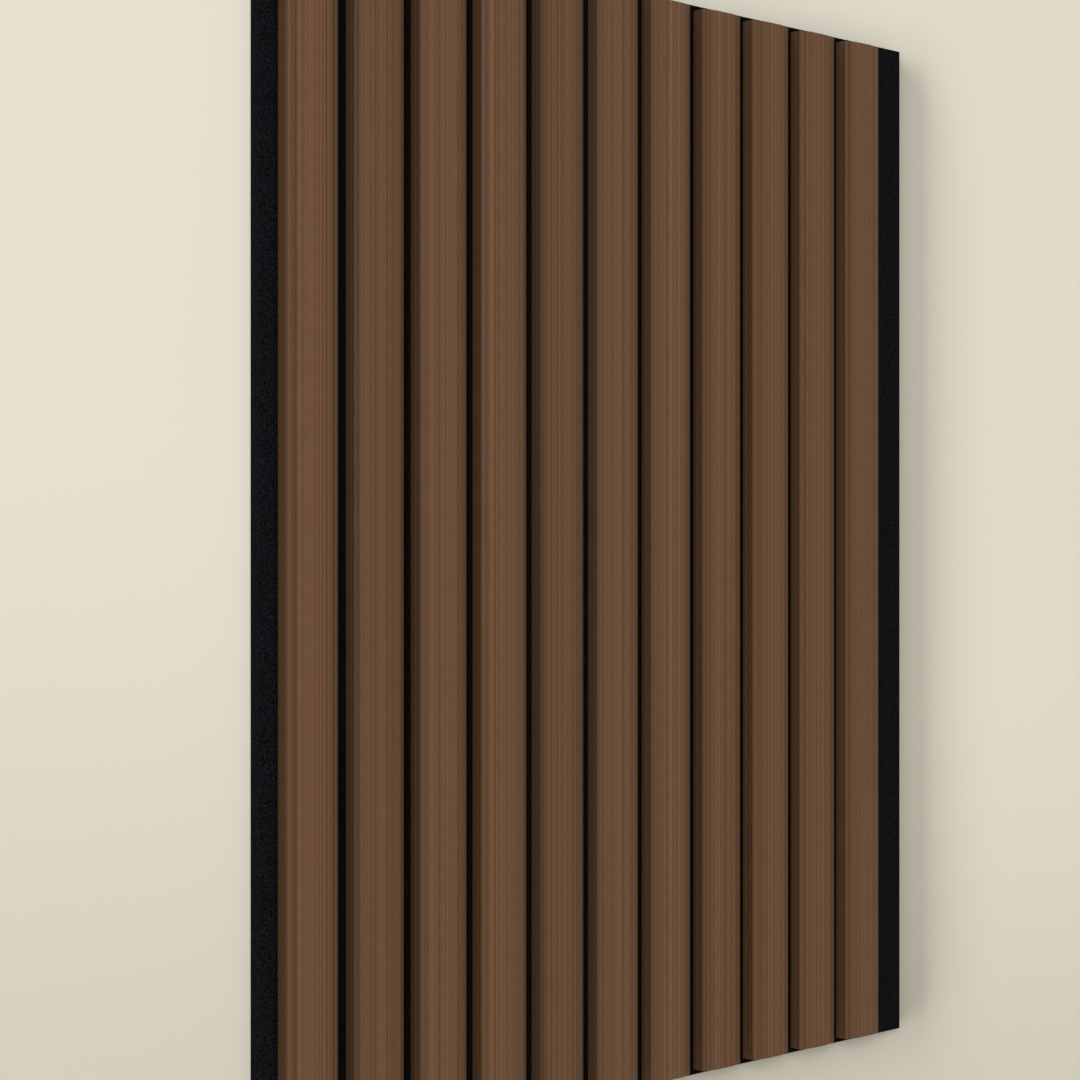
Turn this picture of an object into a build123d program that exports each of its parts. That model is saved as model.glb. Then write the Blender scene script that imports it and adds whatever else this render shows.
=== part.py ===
"""Fluted wall panel: upright slats with softly rounded faces, stapled to a felt backing board.

The panel is modelled as it hangs on a wall. X runs across it to the right, Z is up, and the slats
face -Y. The origin is the centre of the felt's back face, which lies against the wall.
All sizes are in millimetres.
"""

import os

from build123d import *

# Felt backing board
felt_thickness = 9.0
left_margin = 14.0  # felt left bare beside the first slat
right_margin = 36.4  # felt left bare beside the last slat
end_margin = 4.0  # felt left bare past each end of the slats

# Slats
slat_count = 11
slat_length = 750.0
slat_width = 38.6
slat_gap = 12.5
slat_thickness = 12.0
shoulder_width = 14.0  # part of the face, at each long edge, that is rounded
shoulder_drop = 3.25  # how far the face falls away at its long edges
arris_radius = 0.8  # eased corner between shoulder and side

# Wire staples, driven from the back through the felt into each slat
staples_per_slat = 5
staple_crown = 12.8
staple_bite = 5.4  # depth of the legs in the slat
staple_end_distance = 45.0  # from a slat's ends to the nearest staple
crown_sink = 0.4  # depth of the crown below the felt's back face
wire_thickness = 0.65
wire_width = 0.95
bend_bevel = 0.3  # on the outside, where crown and legs meet
tip_land = 0.2  # blunt end that the bevel leaves on each leg's tip

slat_pitch = slat_width + slat_gap
panel_width = left_margin + slat_count * slat_pitch - slat_gap + right_margin
panel_height = slat_length + 2 * end_margin
first_slat_x = -panel_width / 2 + left_margin + slat_width / 2
staple_leg = felt_thickness - crown_sink + staple_bite
staple_spacing = (slat_length - 2 * staple_end_distance) / (staples_per_slat - 1)


def slat_middle(index):
    """X of a slat's centreline, counted from 0 at the left."""
    return first_slat_x + index * slat_pitch


def make_felt():
    """Board of needled felt, cut square, with its back face on the wall."""
    return Pos(0, -felt_thickness / 2, 0) * Box(panel_width, felt_thickness, panel_height)


def make_slat():
    """One slat on the felt's middle: flat face, two rounded shoulders, eased arrises and square sides."""
    half = slat_width / 2
    flat_half = half - shoulder_width
    back = -felt_thickness
    front = back - slat_thickness
    side_front = front + shoulder_drop
    outline = Curve() + [
        Line((-half, back), (half, back)),
        Line((half, back), (half, side_front)),
        TangentArc((flat_half, front), (half, side_front), tangent=(1, 0)),
        Line((flat_half, front), (-flat_half, front)),
        TangentArc((-flat_half, front), (-half, side_front), tangent=(-1, 0)),
        Line((-half, side_front), (-half, back)),
    ]
    section = make_face(outline)
    arrises = section.vertices().group_by(Axis.Y)[1]
    section = fillet(arrises, arris_radius)
    return extrude(section, slat_length / 2, both=True)


def make_staple():
    """One staple on the felt's middle: a crown across the slat, bevelled bends and chisel-pointed legs."""
    leg_x = (staple_crown - wire_thickness) / 2
    crown_y = -crown_sink - wire_thickness / 2
    tip_y = -crown_sink - staple_leg
    wire = Polyline((-leg_x, tip_y), (-leg_x, crown_y), (leg_x, crown_y), (leg_x, tip_y))
    blank = extrude(trace(wire, wire_thickness), wire_width / 2, both=True)
    bends = blank.edges().filter_by(Axis.Z).group_by(Axis.Y)[-1]
    bent = chamfer(bends, bend_bevel)
    tips = bent.edges().filter_by(Axis.Z).group_by(Axis.Y)[0]
    inner_tips = tips.sort_by(lambda edge: abs(edge.center().X))[:2]
    return chamfer(inner_tips, wire_thickness - tip_land)


def make_crown_slot():
    """Space that a sunk crown leaves open behind it, up to the felt's back face."""
    return Pos(0, -crown_sink / 2, 0) * Box(staple_crown, crown_sink, wire_width)


def staple_places(index):
    """Where one slat's staples are, from the bottom up."""
    lowest = -slat_length / 2 + staple_end_distance
    return [Pos(slat_middle(index), 0, lowest + n * staple_spacing) for n in range(staples_per_slat)]


staple = make_staple()
crown_slot = make_crown_slot()
slat = make_slat()
felt = make_felt()
nodes = {}
staples = []
crown_slots = []
for index in range(slat_count):
    own_staples = [place * staple for place in staple_places(index)]
    nodes[f"slat_{index + 1:02d}"] = Pos(slat_middle(index), 0, 0) * slat - own_staples
    staples += own_staples
    crown_slots += [place * crown_slot for place in staple_places(index)]
nodes["felt_backing"] = felt - staples - crown_slots
nodes["staples"] = Compound(children=staples)

os.makedirs("parts", exist_ok=True)
for name, shape in nodes.items():
    export_step(shape, f"parts/{name}.step")
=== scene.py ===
import math

import bpy
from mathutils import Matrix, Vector


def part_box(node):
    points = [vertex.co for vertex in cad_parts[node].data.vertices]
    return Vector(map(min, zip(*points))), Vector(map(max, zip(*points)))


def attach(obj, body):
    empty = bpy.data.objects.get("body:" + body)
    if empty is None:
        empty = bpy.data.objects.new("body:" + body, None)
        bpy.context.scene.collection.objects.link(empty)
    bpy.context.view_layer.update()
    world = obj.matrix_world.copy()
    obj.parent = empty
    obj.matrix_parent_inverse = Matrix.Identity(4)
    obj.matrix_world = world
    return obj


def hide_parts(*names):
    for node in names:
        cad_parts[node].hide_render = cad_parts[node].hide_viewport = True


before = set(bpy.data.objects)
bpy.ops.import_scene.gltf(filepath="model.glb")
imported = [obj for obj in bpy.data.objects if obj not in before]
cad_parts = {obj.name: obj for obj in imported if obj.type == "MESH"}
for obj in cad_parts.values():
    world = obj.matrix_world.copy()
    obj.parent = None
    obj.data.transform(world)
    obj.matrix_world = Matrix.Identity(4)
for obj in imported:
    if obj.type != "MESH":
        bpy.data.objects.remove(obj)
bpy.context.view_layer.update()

# Felt backing board
# A 9 mm board of black polyester felt, needled flat from loose fibre and cut square with a blade.
# The slats are glued and stapled to its face, so it shows at both margins, in the gaps and behind.
MM = 0.001
ACROSS = Vector((1, 0, 0))
UP = Vector((0, 0, 1))
felt_low, felt_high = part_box("felt_backing")
felt_edge_radius = 0.7 * MM
felt_crease = math.radians(40)
slat_count = sum(node.startswith("slat_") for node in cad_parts)
slat_nodes = [f"slat_{number:02d}" for number in range(1, slat_count + 1)]
slat_middles = [sum(corner.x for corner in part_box(node)) / 2 for node in slat_nodes]
staples_low, staples_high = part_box("staples")
staple_rows = 5
wire_width = 0.95 * MM
crown_width = staples_high.x - staples_low.x - (slat_middles[-1] - slat_middles[0])
staple_lift = (staples_high.z - staples_low.z - wire_width) / (staple_rows - 1)
staple_heights = [staples_low.z + wire_width / 2 + row * staple_lift for row in range(staple_rows)]
dimple_depth = 0.8 * MM
dimple_reach = 7 * MM
# Cuts round each staple, counted from its middle, that let the felt dip smoothly under the crown
cuts_along_crown = [at * MM for at in (-12, -9, -7.2, -6.2, 0, 6.2, 7.2, 9, 12)]
cuts_across_wire = [at * MM for at in (-8, -5, -2.6, -1.2, -0.4, 0.4, 1.2, 2.6, 5, 8)]


def cut_mesh(direction, places):
    """Bisects the whole mesh in edit mode, square to a direction, at each place along it."""
    for place in places:
        bpy.ops.mesh.select_all(action="SELECT")
        bpy.ops.mesh.bisect(plane_co=direction * place, plane_no=direction)


def pick_vertices(piece, wanted):
    """Selects the vertices whose place passes the test, and nothing else, and ends in edit mode."""
    bpy.ops.object.mode_set(mode="EDIT")
    bpy.ops.mesh.select_mode(type="VERT")
    bpy.ops.mesh.select_all(action="DESELECT")
    bpy.ops.object.mode_set(mode="OBJECT")
    for vertex in piece.data.vertices:
        vertex.select = wanted(vertex.co)
    bpy.ops.object.mode_set(mode="EDIT")


def under_a_crown(place):
    """True at the felt's back face where a staple crown presses on it."""
    return (
        place.y > felt_high.y - felt_edge_radius / 2
        and any(abs(place.x - middle) < crown_width / 2 for middle in slat_middles)
        and any(abs(place.z - height) < wire_width / 2 for height in staple_heights)
    )


bpy.ops.object.select_all(action="DESELECT")
bpy.ops.mesh.primitive_cube_add(
    size=1, location=(felt_low + felt_high) / 2, scale=felt_high - felt_low
)
bpy.ops.object.transform_apply(location=True, rotation=True, scale=True)
felt = bpy.context.object
felt.name = "felt_board"
bpy.ops.object.mode_set(mode="EDIT")
bpy.ops.mesh.select_all(action="SELECT")
bpy.ops.mesh.bevel(offset=felt_edge_radius, segments=2, affect="EDGES")
cut_mesh(ACROSS, [middle + at for middle in slat_middles for at in cuts_along_crown])
cut_mesh(UP, [height + at for height in staple_heights for at in cuts_across_wire])
pick_vertices(felt, under_a_crown)
bpy.ops.transform.translate(
    value=(0, -dimple_depth, 0),
    use_proportional_edit=True,
    proportional_edit_falloff="SHARP",
    proportional_size=dimple_reach,
)
bpy.ops.object.mode_set(mode="OBJECT")
bpy.ops.object.shade_smooth_by_angle(angle=felt_crease)


def linear(hex_colour):
    """An sRGB hex colour as linear red, green, blue and full alpha."""
    shares = [int(hex_colour[at : at + 2], 16) / 255 for at in (1, 3, 5)]
    return (*(s / 12.92 if s <= 0.04045 else ((s + 0.055) / 1.055) ** 2.4 for s in shares), 1.0)


def add_node(tree, kind, settings=None, links=None):
    """Adds one node, sets its properties and sockets by name or number, and links sockets to it.

    A colour ramp is set by its two stops, each a level and a hex colour.
    """
    made = tree.nodes.new(kind)
    for name, value in (settings or {}).items():
        if name == "color_ramp":
            for stop, (level, hex_colour) in zip(made.color_ramp.elements, value):
                stop.position = level
                stop.color = linear(hex_colour)
        elif isinstance(name, str) and name in made.bl_rna.properties:
            setattr(made, name, value)
        else:
            made.inputs[name].default_value = value
    for name, source in (links or {}).items():
        tree.links.new(source, made.inputs[name])
    return made


def new_finish(name, **shader):
    """A material with a plain Principled shader; returns it with its node tree and that shader."""
    finish = bpy.data.materials.new(name)
    finish.use_nodes = True
    tree = finish.node_tree
    principled = tree.nodes["Principled BSDF"]
    for socket, value in shader.items():
        principled.inputs[socket.replace("_", " ")].default_value = value
    return finish, tree, principled


# Needled polyester felt: dead black and matt, with a mat of fine curled fibres that catch some light.
# Between the slats the felt is drawn darker and warmer than at the margins and on the back: painted
# shade of the gaps, with a painted warm cast of light thrown off the slats.
fibre_width = 0.6 * MM  # real fibres are 0.02 mm thick, and are drawn as coarse as they need to show
fibre_length = 1.7 * MM
fibre_turns = (15, 75, 135)
hollow_level, fibre_level = 0.5, 0.8
gap_shade_fade = 4 * MM  # over which the painted shade of the gaps fades out
slats_middle = (slat_middles[0] + slat_middles[-1]) / 2
slatted_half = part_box(slat_nodes[-1])[1].x - slats_middle
# A Mix node has sockets of several types under the same names, so its colour ones go by number
FACTOR, FIRST_COLOUR, SECOND_COLOUR = 0, 6, 7
MIXED_COLOUR = 2
felt_finish, tree, shader = new_finish(
    "needled_polyester_felt", Roughness=0.95, Specular_IOR_Level=0.02
)
place = add_node(tree, "ShaderNodeTexCoord").outputs["Object"]
fibres = None
for turn in fibre_turns:
    lying = add_node(
        tree,
        "ShaderNodeMapping",
        {
            "vector_type": "TEXTURE",
            "Rotation": (0, math.radians(turn), 0),
            "Scale": (fibre_width, fibre_width, fibre_length),
        },
        {"Vector": place},
    ).outputs[0]
    layer = add_node(
        tree, "ShaderNodeTexNoise", {"Scale": 1, "Detail": 1, "Distortion": 0.6}, {"Vector": lying}
    ).outputs["Fac"]
    if fibres:
        layer = add_node(
            tree, "ShaderNodeMath", {"operation": "MAXIMUM"}, {0: fibres, 1: layer}
        ).outputs[0]
    fibres = layer
# Painted shade: the felt between the slats gets this darker, warmer colour for the shade and slat
# bounce in the gaps
shaded_gap_felt = add_node(
    tree,
    "ShaderNodeValToRGB",
    {"color_ramp": ((hollow_level, "#020202"), (fibre_level, "#1f1d1c"))},
    {"Fac": fibres},
).outputs["Color"]
margin_nap = add_node(
    tree,
    "ShaderNodeValToRGB",
    {"color_ramp": ((hollow_level, "#020204"), (fibre_level, "#28282e"))},
    {"Fac": fibres},
).outputs["Color"]
position = add_node(tree, "ShaderNodeSeparateXYZ", links={0: place}).outputs
to_side = add_node(
    tree, "ShaderNodeMath", {"operation": "SUBTRACT", 1: slats_middle}, {0: position["X"]}
).outputs[0]
to_side = add_node(tree, "ShaderNodeMath", {"operation": "ABSOLUTE"}, {0: to_side}).outputs[0]
at_margin = add_node(
    tree,
    "ShaderNodeMapRange",
    {"From Min": slatted_half, "From Max": slatted_half + gap_shade_fade},
    {"Value": to_side},
).outputs[0]
behind_face = add_node(
    tree,
    "ShaderNodeMapRange",
    {"From Min": felt_low.y, "From Max": felt_low.y + gap_shade_fade},
    {"Value": position["Y"]},
).outputs[0]
unshaded_share = add_node(
    tree, "ShaderNodeMath", {"operation": "MAXIMUM"}, {0: at_margin, 1: behind_face}
).outputs[0]
felt_colour = add_node(
    tree,
    "ShaderNodeMix",
    {"data_type": "RGBA"},
    {FACTOR: unshaded_share, FIRST_COLOUR: shaded_gap_felt, SECOND_COLOUR: margin_nap},
).outputs[MIXED_COLOUR]
tree.links.new(felt_colour, shader.inputs["Base Color"])
nap = add_node(tree, "ShaderNodeBump", {"Strength": 0.6, "Distance": 0.3 * MM}, {"Height": fibres})
tree.links.new(nap.outputs["Normal"], shader.inputs["Normal"])
felt.data.materials.append(felt_finish)
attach(felt, "root")
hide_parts("felt_backing")

# Slats
# Eleven identical fibreboard slats with a softly rounded face, wrapped in walnut veneer on face and
# sides. They are sawn square at both ends, which leaves the core bare there, and glued to the felt.
slat_low, slat_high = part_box(slat_nodes[0])
half_width = (slat_high.x - slat_low.x) / 2
slat_length = slat_high.z - slat_low.z
face_y, back_y = slat_low.y, slat_high.y
shoulder_width = 14 * MM
shoulder_drop = 3.25 * MM
shoulder_steps = 14
flat_half = half_width - shoulder_width
shoulder_radius = (shoulder_width**2 + shoulder_drop**2) / (2 * shoulder_drop)
shoulder_angle = math.asin(shoulder_width / shoulder_radius)
arris_ease = 0.4 * MM
veneer_thickness = 0.6 * MM
weld_distance = 0.01 * MM
slat_crease = math.radians(30)


def step_by(x, y):
    """Extrudes the selected vertex by a step in the slat's section."""
    bpy.ops.mesh.extrude_vertices_move(TRANSFORM_OT_translate={"value": (x, y, 0)})


def at_an_arris(place):
    """True on the two long corners where a shoulder meets a side."""
    return abs(place.x) > half_width - weld_distance and place.y < back_y - weld_distance


bpy.ops.object.select_all(action="DESELECT")
bpy.ops.mesh.primitive_plane_add(size=half_width, location=(0, face_y, slat_low.z))
bpy.ops.object.transform_apply(location=True, rotation=True, scale=True)
slat = bpy.context.object
slat.name = "slat_blank"
bpy.ops.object.mode_set(mode="EDIT")
bpy.ops.mesh.select_all(action="SELECT")
bpy.ops.mesh.merge(type="CENTER")
step_by(flat_half, 0)
bpy.ops.mesh.spin(
    steps=shoulder_steps,
    angle=shoulder_angle,
    center=(flat_half, face_y + shoulder_radius, slat_low.z),
    axis=(0, 0, -1),
)
step_by(0, back_y - face_y - shoulder_drop)
step_by(-half_width, 0)
bpy.ops.object.mode_set(mode="OBJECT")
bpy.ops.object.modifier_add(type="MIRROR")
slat.modifiers[-1].merge_threshold = weld_distance
bpy.ops.object.modifier_apply(modifier=slat.modifiers[-1].name)
bpy.ops.object.mode_set(mode="EDIT")
bpy.ops.mesh.select_all(action="SELECT")
bpy.ops.mesh.edge_face_add()
bpy.ops.mesh.extrude_region_move(TRANSFORM_OT_translate={"value": (0, 0, slat_length)})
bpy.ops.mesh.select_all(action="SELECT")
bpy.ops.mesh.normals_make_consistent(inside=False)
pick_vertices(slat, at_an_arris)
bpy.ops.mesh.select_mode(type="EDGE")
bpy.ops.mesh.bevel(offset=arris_ease, segments=3, affect="EDGES")
bpy.ops.mesh.select_mode(type="FACE")
bpy.ops.mesh.select_all(action="DESELECT")
bpy.ops.object.mode_set(mode="OBJECT")
for face in slat.data.polygons:
    faces_up_or_down = round(abs(face.normal.z)) == 1
    face.select = faces_up_or_down
bpy.ops.object.mode_set(mode="EDIT")
bpy.ops.mesh.inset(thickness=veneer_thickness)
bpy.ops.object.mode_set(mode="OBJECT")
for face in slat.data.polygons:
    face.material_index = 1 if face.select else 0  # the bare core, inside the veneer's edge, or veneer
bpy.ops.object.shade_smooth_by_angle(angle=slat_crease)
bpy.ops.object.modifier_add(type="WEIGHTED_NORMAL")
slat.modifiers[-1].keep_sharp = True
bpy.ops.object.modifier_apply(modifier=slat.modifiers[-1].name)

# Walnut veneer, quarter cut: fine straight streaks up the whole slat, dark pore flecks and a satin
# lacquer. Painted shade darkens the colour round the shoulders and sides.
band_width = 4 * MM
grain_width = 1.6 * MM
streak_length = 5000 * MM  # far longer than a slat, so that the streaks run straight through
pore_width = 0.5 * MM  # real pores are 0.2 mm wide, and are drawn as coarse as they need to show
pore_length = 12 * MM
dark_level, light_level = 0.3, 0.7
edge_shade_share = 0.58  # share of the face's colour that the painted shade leaves at the arrises
edge_shade_power = 2.45
dark_leaf, light_leaf = 0.96, 1.04  # by which veneer leaves differ in tone from slat to slat
slat_pitch = slat_middles[1] - slat_middles[0]
veneer, tree, shader = new_finish("walnut_veneer", Roughness=0.55, Specular_IOR_Level=0.15)
place = add_node(tree, "ShaderNodeTexCoord").outputs["Object"]


def streaks(width, length, detail):
    """Noise drawn out along the slat into streaks of about one width and length."""
    stretched = add_node(
        tree, "ShaderNodeMapping", {"Scale": (1 / width, 1 / width, 1 / length)}, {"Vector": place}
    ).outputs[0]
    return add_node(
        tree,
        "ShaderNodeTexNoise",
        {"Scale": 1, "Detail": detail, "Roughness": 0.6},
        {"Vector": stretched},
    ).outputs["Fac"]


bands = streaks(band_width, streak_length, detail=1)
grain = streaks(grain_width, streak_length, detail=2)
pores = streaks(pore_width, pore_length, detail=1)
red_brown = add_node(
    tree,
    "ShaderNodeValToRGB",
    {"color_ramp": ((dark_level, "#593921"), (light_level, "#7b5b44"))},
    {"Fac": grain},
).outputs["Color"]
olive_brown = add_node(
    tree,
    "ShaderNodeValToRGB",
    {"color_ramp": ((dark_level, "#563a21"), (light_level, "#785c45"))},
    {"Fac": grain},
).outputs["Color"]
share_of_red = add_node(
    tree, "ShaderNodeMapRange", {"From Min": 0.35, "From Max": 0.65}, {"Value": bands}
).outputs[0]
figure = add_node(
    tree,
    "ShaderNodeMix",
    {"data_type": "RGBA"},
    {FACTOR: share_of_red, FIRST_COLOUR: olive_brown, SECOND_COLOUR: red_brown},
).outputs[MIXED_COLOUR]
pore_tone = add_node(
    tree,
    "ShaderNodeMapRange",
    {"From Min": 0.30, "From Max": 0.42, "To Min": 0.88, "To Max": 1.0},
    {"Value": pores},
).outputs[0]
x_place = add_node(tree, "ShaderNodeSeparateXYZ", links={0: place}).outputs["X"]
from_first = add_node(
    tree, "ShaderNodeMath", {"operation": "SUBTRACT", 1: slat_middles[0]}, {0: x_place}
).outputs[0]
# Painted shade: the colour darkens from each slat's middle towards its shoulders and sides, as light
# falls off round them
from_middle = add_node(
    tree, "ShaderNodeMath", {"operation": "PINGPONG", 1: slat_pitch / 2}, {0: from_first}
).outputs[0]
share_of_half = add_node(
    tree, "ShaderNodeMath", {"operation": "DIVIDE", 1: half_width}, {0: from_middle}
).outputs[0]
towards_edge = add_node(
    tree, "ShaderNodeMath", {"operation": "POWER", 1: edge_shade_power}, {0: share_of_half}
).outputs[0]
painted_edge_shade = add_node(
    tree, "ShaderNodeMapRange", {"To Min": 1.0, "To Max": edge_shade_share}, {"Value": towards_edge}
).outputs[0]
leaf_number = add_node(
    tree, "ShaderNodeMath", {"operation": "MULTIPLY", 1: 1 / slat_pitch}, {0: from_first}
).outputs[0]
leaf_number = add_node(tree, "ShaderNodeMath", {"operation": "ROUND"}, {0: leaf_number}).outputs[0]
leaf = add_node(
    tree, "ShaderNodeTexWhiteNoise", {"noise_dimensions": "1D"}, {"W": leaf_number}
).outputs["Value"]
leaf_tone = add_node(
    tree, "ShaderNodeMapRange", {"To Min": dark_leaf, "To Max": light_leaf}, {"Value": leaf}
).outputs[0]
tone_and_painted_shade = add_node(
    tree, "ShaderNodeMath", {"operation": "MULTIPLY"}, {0: leaf_tone, 1: painted_edge_shade}
).outputs[0]
tone_and_painted_shade = add_node(
    tree, "ShaderNodeMath", {"operation": "MULTIPLY"}, {0: tone_and_painted_shade, 1: pore_tone}
).outputs[0]
veneer_colour = add_node(
    tree, "ShaderNodeVectorMath", {"operation": "SCALE"}, {0: figure, "Scale": tone_and_painted_shade}
).outputs[0]
tree.links.new(veneer_colour, shader.inputs["Base Color"])
relief = add_node(tree, "ShaderNodeBump", {"Strength": 0.25, "Distance": 0.1 * MM}, {"Height": grain})
tree.links.new(relief.outputs["Normal"], shader.inputs["Normal"])
slat.data.materials.append(veneer)

# Raw fibreboard on the sawn ends: pale brown, matt, speckled with fine wood fibre.
fleck_size = 0.8 * MM
core, tree, shader = new_finish("raw_fibreboard", Roughness=0.9, Specular_IOR_Level=0.2)
place = add_node(tree, "ShaderNodeTexCoord").outputs["Object"]
flecks = add_node(
    tree,
    "ShaderNodeTexNoise",
    {"Scale": 1 / fleck_size, "Detail": 4, "Roughness": 0.7},
    {"Vector": place},
).outputs["Fac"]
fibre_brown = add_node(
    tree,
    "ShaderNodeValToRGB",
    {"color_ramp": ((dark_level, "#7d6146"), (light_level, "#a98a67"))},
    {"Fac": flecks},
).outputs["Color"]
tree.links.new(fibre_brown, shader.inputs["Base Color"])
sawn = add_node(tree, "ShaderNodeBump", {"Strength": 0.4, "Distance": 0.1 * MM}, {"Height": flecks})
tree.links.new(sawn.outputs["Normal"], shader.inputs["Normal"])
slat.data.materials.append(core)

veneered_slats = []
for node, middle in zip(slat_nodes, slat_middles):
    bpy.ops.object.select_all(action="DESELECT")
    slat.select_set(True)
    bpy.context.view_layer.objects.active = slat
    bpy.ops.object.duplicate()
    piece = bpy.context.object
    piece.name = node + "_veneered"
    bpy.ops.transform.translate(value=(middle, 0, 0))
    bpy.ops.object.transform_apply(location=True, rotation=True, scale=True)
    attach(piece, "root")
    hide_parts(node)
    veneered_slats.append(piece)
bpy.data.objects.remove(slat)

# Staples
# Galvanised wire staples, driven from behind through the felt into every slat; only their crowns show.
# Their solids have the right shape, so they stay and take the wire's finish.
# Galvanised wire: bright grey zinc, half dulled, in patches of slightly different grey.
spangle_size = 1.5 * MM
wire_finish, tree, shader = new_finish("galvanised_wire", Metallic=1.0, Roughness=0.4)
place = add_node(tree, "ShaderNodeTexCoord").outputs["Object"]
spangle = add_node(
    tree, "ShaderNodeTexNoise", {"Scale": 1 / spangle_size, "Detail": 2}, {"Vector": place}
).outputs["Fac"]
zinc_grey = add_node(
    tree, "ShaderNodeValToRGB", {"color_ramp": ((0, "#8c8f92"), (1, "#c3c6c8"))}, {"Fac": spangle}
).outputs["Color"]
tree.links.new(zinc_grey, shader.inputs["Base Color"])
for material_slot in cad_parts["staples"].material_slots:
    material_slot.material = wire_finish

# Wall and floor
# A plain matt wall that the panel hangs on, with painted shade darkening it a little towards its foot
# and left, and a pale floor.
# The wall is open behind the panel and is seen from its front only, so the back can be looked at.
wall_reach = 1.2
wall_gap = 0.2 * MM  # between the felt's back and the wall
lap = 2 * MM  # of the felt over the edge of the wall's opening
painted_shade_depth = 0.5  # below the panel's middle, where the wall is darkest
painted_shade_tilt = 0.22  # by which the painted shade climbs towards the left
floor_reach = 4.0
floor_z = -0.95
bpy.ops.object.select_all(action="DESELECT")
bpy.ops.mesh.primitive_plane_add(
    size=2 * wall_reach, location=(0, felt_high.y + wall_gap, 0), rotation=(math.pi / 2, 0, 0)
)
bpy.ops.object.transform_apply(location=True, rotation=True, scale=True)
wall = bpy.context.object
wall.name = "wall"
bpy.ops.object.mode_set(mode="EDIT")
cut_mesh(ACROSS, [felt_low.x + lap, felt_high.x - lap])
cut_mesh(UP, [floor_z, felt_low.z + lap, felt_high.z - lap])
bpy.ops.mesh.select_mode(type="FACE")
bpy.ops.mesh.select_all(action="DESELECT")
bpy.ops.object.mode_set(mode="OBJECT")
for face in wall.data.polygons:
    middle = face.center
    behind_panel = abs(middle.x) < felt_high.x - lap and abs(middle.z) < felt_high.z - lap
    face.select = behind_panel or middle.z < floor_z
bpy.ops.object.mode_set(mode="EDIT")
bpy.ops.mesh.delete(type="FACE")
bpy.ops.object.mode_set(mode="OBJECT")

# Matt wall paint: warm pale grey with no gloss at all, its colour graded darker towards the foot and
# left as painted shade.
paint, tree, shader = new_finish("matt_wall_paint", Roughness=1.0, Specular_IOR_Level=0.0)
place = add_node(tree, "ShaderNodeTexCoord").outputs["Object"]
graded_height = add_node(
    tree, "ShaderNodeVectorMath", {"operation": "DOT_PRODUCT", 1: (painted_shade_tilt, 0, 1)}, {0: place}
).outputs["Value"]
paleness = add_node(
    tree,
    "ShaderNodeMapRange",
    {"interpolation_type": "SMOOTHSTEP", "From Min": -painted_shade_depth, "From Max": 0.0},
    {"Value": graded_height},
).outputs[0]
wall_colour = add_node(
    tree,
    "ShaderNodeMix",
    {"data_type": "RGBA", FIRST_COLOUR: linear("#a8a498"), SECOND_COLOUR: linear("#b7b3a7")},
    {FACTOR: paleness},
).outputs[MIXED_COLOUR]
tree.links.new(wall_colour, shader.inputs["Base Color"])
rear_side = add_node(tree, "ShaderNodeNewGeometry").outputs["Backfacing"]
clear = add_node(tree, "ShaderNodeBsdfTransparent").outputs[0]
one_sided = add_node(
    tree, "ShaderNodeMixShader", links={0: rear_side, 1: shader.outputs[0], 2: clear}
).outputs[0]
tree.links.new(one_sided, tree.nodes["Material Output"].inputs["Surface"])
wall.data.materials.append(paint)

bpy.ops.object.select_all(action="DESELECT")
bpy.ops.mesh.primitive_plane_add(size=2 * floor_reach, location=(0, 0, floor_z))
bpy.ops.object.transform_apply(location=True, rotation=True, scale=True)
floor = bpy.context.object
floor.name = "floor"
screed, tree, shader = new_finish(
    "pale_floor", Base_Color=linear("#dcd8ce"), Roughness=0.8, Specular_IOR_Level=0.2
)
floor.data.materials.append(screed)

# Light and camera
# Soft daylight from all round, a broad lamp in front to the left and above, and one behind for the
# back. Two tall windows far to the left graze the wall alone, and only the panel stands in their light.
# The camera stands level at mid height, turned to the right across the panel's face.
world = bpy.data.worlds.new("soft_daylight")
world.use_nodes = True
daylight = world.node_tree.nodes["Background"].inputs
daylight["Color"].default_value = linear("#fffdf8")
daylight["Strength"].default_value = 0.47
bpy.context.scene.world = world


def studio_lamp(name, stand, watts, width, height):
    """A flat lamp that faces the panel's middle from where it stands, and isn't seen itself."""
    bpy.ops.object.light_add(type="AREA", location=stand)
    lamp = bpy.context.object
    lamp.name = name
    lamp.data.shape = "RECTANGLE"
    lamp.data.size = width
    lamp.data.size_y = height
    lamp.data.energy = watts
    lamp.rotation_mode = "QUATERNION"
    lamp.rotation_quaternion = (-Vector(stand)).to_track_quat("-Z", "Y")
    lamp.visible_camera = False
    return lamp


studio_lamp("front_lamp", stand=(-5.2, -6.0, 3.0), watts=430, width=3.4, height=3.4)
studio_lamp("back_lamp", stand=(2.0, 3.0, 1.5), watts=110, width=2.0, height=2.0)
low_window = studio_lamp("low_window", stand=(-40, -7.3, 4), watts=61500, width=5.2, height=46)
high_window = studio_lamp("high_window", stand=(-40, -16, 8), watts=11600, width=15.8, height=82)
lit_wall = bpy.data.collections.new("lit_wall")
lit_wall.objects.link(wall)
shading_panel = bpy.data.collections.new("shading_panel")
for piece in (felt, *veneered_slats):
    shading_panel.objects.link(piece)
for window in (low_window, high_window):
    window.light_linking.receiver_collection = lit_wall
    window.light_linking.blocker_collection = shading_panel

view_turn = math.radians(41.727)
view_distance = 1.4835
aim = Vector((-0.08493, face_y, 0))  # in the middle of the picture, on the plane of the slats' faces
ahead = Vector((math.sin(view_turn), math.cos(view_turn), 0))
bpy.ops.object.camera_add(
    location=aim - ahead * view_distance, rotation=(math.pi / 2, 0, -view_turn)
)
camera = bpy.context.object
camera.data.lens = 75.1
camera.data.sensor_width = 36
bpy.context.scene.camera = camera
bpy.context.scene.view_settings.view_transform = "Standard"
